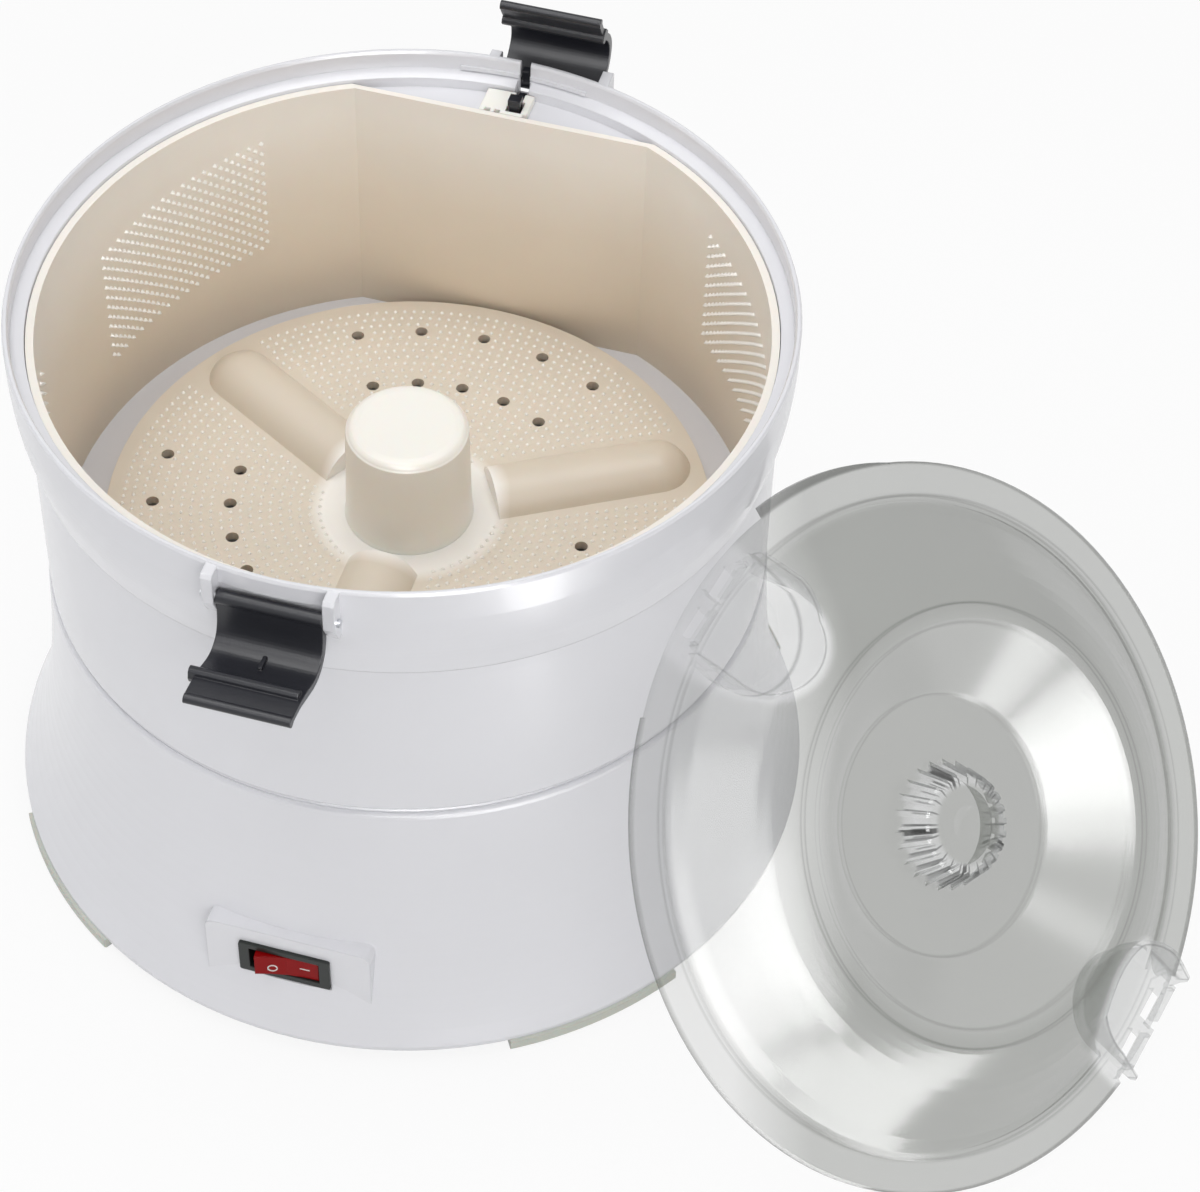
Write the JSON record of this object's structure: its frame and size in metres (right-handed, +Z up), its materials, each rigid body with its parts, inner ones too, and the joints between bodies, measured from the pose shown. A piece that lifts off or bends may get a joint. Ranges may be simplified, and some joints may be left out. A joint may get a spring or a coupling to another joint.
{
  "type": "electric potato peeler",
  "caption": "Electric potato peeler: round drum on a flared motor base, turning peeling disc, rocker switch, hinged lid clips and a clear lid leaning against it.",
  "frame": {"origin": "middle of the assembly's bounding box, leaning lid included, at the height of the table", "axes": "+Z up along the drum axis, -Y towards the switch and the front clip, +X towards the leaning lid"},
  "size_m": [0.426, 0.3058, 0.2386],
  "materials": {
    "white_gloss": "glossy",
    "cream_liner": "satin",
    "white_inner": "satin",
    "slate_plastic": "satin",
    "red_gloss": "glossy, slightly translucent",
    "dark_frame": "satin",
    "foot_rubber": "matt, slightly translucent",
    "black_rubber": "matt",
    "steel": "brushed",
    "spring_steel": "bright",
    "bronze": "plain",
    "copper_rotor": "varnished windings",
    "nylon": "satin",
    "black_plastic": "satin",
    "circuit_board": "satin",
    "ferrite": "matt",
    "clear_lid": "clear smoky plastic, glossy"
  },
  "bodies": {
    "frame": {"base_housing": "white_gloss", "base_cover": "white_inner", "foot_front_left": "foot_rubber", "foot_front_right": "foot_rubber", "foot_rear_left": "foot_rubber", "foot_rear_right": "foot_rubber", "cover_screws": "steel", "switch_frame": "dark_frame", "switch_terminals": "bronze", "cord_gland": "slate_plastic", "gear_plate": "steel", "plate_screws": "steel", "motor_can": "steel", "motor_magnets": "ferrite", "motor_end_cap": "black_plastic", "rectifier_board": "circuit_board", "idler_axle": "steel", "lower_bush": "bronze", "upper_bush": "bronze", "shaft_seal": "black_rubber", "drum": "white_gloss", "drum_screws": "steel", "liner": "cream_liner", "interlock_bracket": "white_inner", "microswitch": "black_plastic", "clip_front_pin": "steel", "clip_rear_pin": "steel"},
    "disc": {"drive_gear": "nylon", "drive_shaft": "steel", "shaft_circlip": "spring_steel", "peeling_disc": "cream_liner", "disc_nut": "steel", "disc_hub": "white_gloss"},
    "idler": {"idler_gear": "nylon"},
    "rotor": {"motor_rotor": "copper_rotor", "motor_pinion": "bronze", "motor_fan": "black_plastic"},
    "rocker": {"switch_rocker": "red_gloss"},
    "push_rod": {"interlock_rod": "slate_plastic", "interlock_spring": "spring_steel"},
    "front_clip": {"clip_front": "slate_plastic"},
    "rear_clip": {"clip_rear": "slate_plastic"},
    "lid_body": {"lid": "clear_lid"}
  },
  "joints": [
    {"name": "disc_spin", "type": "hinge", "parent": "frame", "child": "disc", "pos_m": [-0.07347, 0.01297, 0.09], "axis": [0, 0, 1], "continuous": true},
    {"name": "idler_spin", "type": "hinge", "parent": "frame", "child": "idler", "pos_m": [-0.12784, 0.01297, 0.09], "axis": [0, 0, 1], "continuous": true},
    {"name": "motor_spin", "type": "hinge", "parent": "frame", "child": "rotor", "pos_m": [-0.1341, 0.04843, 0.06], "axis": [0, 0, 1], "continuous": true},
    {"name": "front_clip_hinge", "type": "hinge", "parent": "frame", "child": "front_clip", "pos_m": [-0.07347, -0.11323, 0.205], "axis": [-1, 0, 0], "range_deg": [0, 173]},
    {"name": "rear_clip_hinge", "type": "hinge", "parent": "frame", "child": "rear_clip", "pos_m": [-0.06197, 0.13917, 0.205], "axis": [1, 0, 0], "range_deg": [-116, 57]},
    {"name": "rocker_hinge", "type": "hinge", "parent": "frame", "child": "rocker", "pos_m": [-0.07567, -0.11263, 0.0332], "axis": [0, 0, -1], "range_deg": [0, 18]},
    {"name": "push_rod_slide", "type": "slide", "parent": "frame", "child": "push_rod", "axis": [0, 0, -1], "range_m": [0, 0.0035], "stiffness_N_per_m": 300, "springref_m": -0.002, "deforming": ["interlock_spring"]},
    {"name": "lid_lift", "type": "slide", "parent": "frame", "child": "lid_body", "axis": [0.68, -0.194, 0.7071], "range_m": [0, 0.15]}
  ],
  "couplings": [
    {"joint": "idler_spin", "follows": "disc_spin", "ratio": -4.8},
    {"joint": "motor_spin", "follows": "disc_spin", "ratio": 24}
  ]
}
